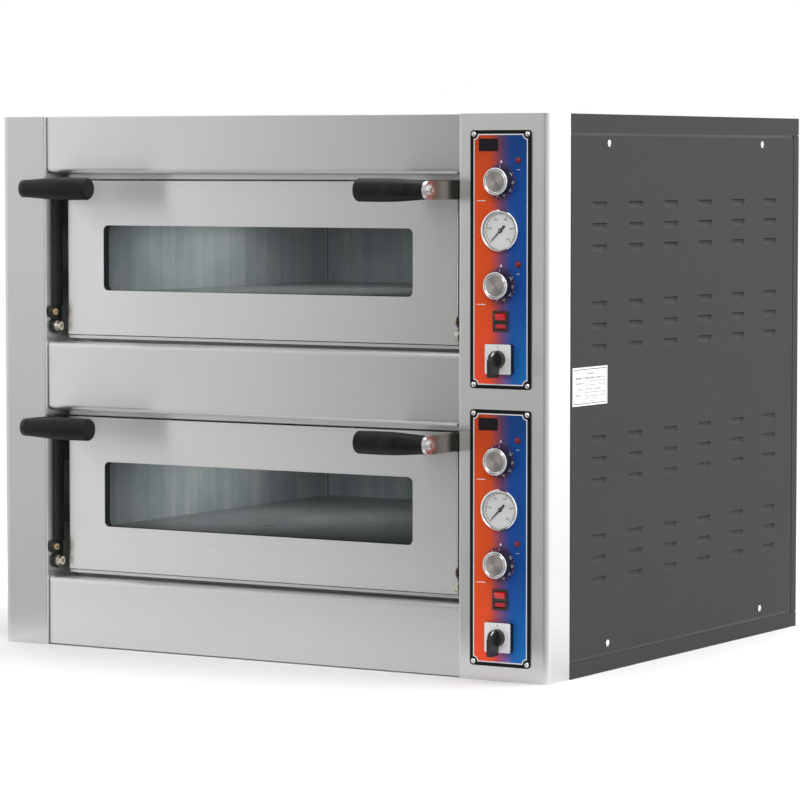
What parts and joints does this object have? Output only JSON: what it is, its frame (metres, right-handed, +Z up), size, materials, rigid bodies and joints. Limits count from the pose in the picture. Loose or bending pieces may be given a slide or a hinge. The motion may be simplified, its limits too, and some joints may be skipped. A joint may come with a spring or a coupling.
{
  "type": "countertop pizza oven",
  "caption": "Electric deck pizza oven in stainless steel: stone-floored baking chambers with drop-down glazed doors on side levers and a control column on the right.",
  "frame": {"origin": "middle of the casing's footprint, on the surface the oven stands on", "axes": "+Z up, the front with the doors faces -Y, +X to the right seen from the front"},
  "size_m": [0.9548, 0.9068, 0.8],
  "materials": {
    "stainless": "fine brushed grain",
    "door_stainless": "fine brushed grain",
    "door_inner": "mill finish with light heat tint",
    "casing_paint": "satin grey powder coat",
    "frame_paint": "matt black paint",
    "lever_black": "satin black paint",
    "chamber_steel": "aluminised sheet",
    "stone": "dry, fine-pored",
    "wool": "fibrous mineral wool",
    "element": "dark oxidised tube",
    "lamp": "frosted",
    "screw_steel": "bright zinc",
    "hinge_steel": "yellow passivated",
    "bar_steel": "ground, bright edges",
    "grip_plastic": "satin black",
    "door_pane": "dark, polished",
    "seal_rubber": "matt",
    "control_overlay": "gloss print, orange to blue",
    "knob_plastic": "smoked clear skirt, metallised cap",
    "device_plastic": "moulded",
    "gauge_bezel": "bright ring, white dial",
    "gauge_pane": "clear",
    "needle_paint": "matt",
    "lamp_red": "clear red lens",
    "rocker_red": "gloss, black middle band",
    "cam_plastic": "silver-white plate, black sides",
    "cam_black": "moulded",
    "label": "satin foil"
  },
  "bodies": {
    "casing": {"base_tray": "casing_paint", "top_cover": "casing_paint", "back_panel": "casing_paint", "left_side_panel": "casing_paint", "right_side_panel": "casing_paint", "casing_screws": "screw_steel", "left_pillar": "stainless", "control_pillar": "stainless", "top_fascia": "stainless", "middle_fascia": "stainless", "bottom_fascia": "stainless", "rating_plate": "label", "chassis_frame": "frame_paint", "front_frame": "stainless", "upper_chamber": "chamber_steel", "lower_chamber": "chamber_steel", "chamber_insulation": "wool", "floor_stones": "stone", "heating_elements": "element", "oven_lamps": "lamp", "hinge_screws": "hinge_steel", "upper_control_plate": "control_overlay", "lower_control_plate": "control_overlay", "plate_screws": "screw_steel", "thermostats": "device_plastic", "gauge_cases": "gauge_bezel", "gauge_glasses": "gauge_pane", "indicator_lamps": "lamp_red", "rocker_housings": "device_plastic", "cam_switch_bodies": "cam_plastic", "terminal_block": "device_plastic", "cable_gland": "device_plastic"},
    "upper_door": {"upper_door_panel": "door_stainless", "upper_door_liner": "door_inner", "upper_door_wool": "wool", "upper_door_glass": "door_pane", "upper_window_seal": "seal_rubber", "upper_levers": "lever_black", "upper_handle_bars": "bar_steel", "upper_grips": "grip_plastic", "upper_door_screws": "screw_steel"},
    "lower_door": {"lower_door_panel": "door_stainless", "lower_door_liner": "door_inner", "lower_door_wool": "wool", "lower_door_glass": "door_pane", "lower_window_seal": "seal_rubber", "lower_levers": "lever_black", "lower_handle_bars": "bar_steel", "lower_grips": "grip_plastic", "lower_door_screws": "screw_steel"},
    "upper_roof_dial": {"upper_roof_knob": "knob_plastic"},
    "upper_floor_dial": {"upper_floor_knob": "knob_plastic"},
    "lower_roof_dial": {"lower_roof_knob": "knob_plastic"},
    "lower_floor_dial": {"lower_floor_knob": "knob_plastic"},
    "upper_needle": {"upper_gauge_needle": "needle_paint"},
    "lower_needle": {"lower_gauge_needle": "needle_paint"},
    "upper_light_switch": {"upper_rocker": "rocker_red"},
    "lower_light_switch": {"lower_rocker": "rocker_red"},
    "upper_power_switch": {"upper_cam_handle": "cam_black"},
    "lower_power_switch": {"lower_cam_handle": "cam_black"}
  },
  "joints": [
    {"name": "upper_door_hinge", "type": "hinge", "parent": "casing", "child": "upper_door", "pos_m": [-0.03275, -0.3835, 0.4845], "axis": [1, 0, 0], "range_deg": [0, 90]},
    {"name": "lower_door_hinge", "type": "hinge", "parent": "casing", "child": "lower_door", "pos_m": [-0.03275, -0.3835, 0.1275], "axis": [1, 0, 0], "range_deg": [0, 90]},
    {"name": "upper_roof_turn", "type": "hinge", "parent": "casing", "child": "upper_roof_dial", "pos_m": [0.399, -0.4025, 0.7047], "axis": [0, 1, 0], "range_deg": [0, 300]},
    {"name": "upper_floor_turn", "type": "hinge", "parent": "casing", "child": "upper_floor_dial", "pos_m": [0.399, -0.4025, 0.559], "axis": [0, 1, 0], "range_deg": [0, 300]},
    {"name": "lower_roof_turn", "type": "hinge", "parent": "casing", "child": "lower_roof_dial", "pos_m": [0.399, -0.4025, 0.3122], "axis": [0, 1, 0], "range_deg": [0, 300]},
    {"name": "lower_floor_turn", "type": "hinge", "parent": "casing", "child": "lower_floor_dial", "pos_m": [0.399, -0.4025, 0.1665], "axis": [0, 1, 0], "range_deg": [0, 300]},
    {"name": "upper_needle_swing", "type": "hinge", "parent": "casing", "child": "upper_needle", "pos_m": [0.399, -0.4025, 0.6359], "axis": [0, 1, 0], "range_deg": [0, 270]},
    {"name": "lower_needle_swing", "type": "hinge", "parent": "casing", "child": "lower_needle", "pos_m": [0.399, -0.4025, 0.2434], "axis": [0, 1, 0], "range_deg": [0, 270]},
    {"name": "upper_light_tilt", "type": "hinge", "parent": "casing", "child": "upper_light_switch", "pos_m": [0.399, -0.401, 0.509], "axis": [-1, 0, 0], "range_deg": [0, 18]},
    {"name": "lower_light_tilt", "type": "hinge", "parent": "casing", "child": "lower_light_switch", "pos_m": [0.399, -0.401, 0.1165], "axis": [-1, 0, 0], "range_deg": [0, 18]},
    {"name": "upper_power_turn", "type": "hinge", "parent": "casing", "child": "upper_power_switch", "pos_m": [0.399, -0.4125, 0.4557], "axis": [0, 1, 0], "range_deg": [0, 90]},
    {"name": "lower_power_turn", "type": "hinge", "parent": "casing", "child": "lower_power_switch", "pos_m": [0.399, -0.4125, 0.0632], "axis": [0, 1, 0], "range_deg": [0, 90]}
  ]
}
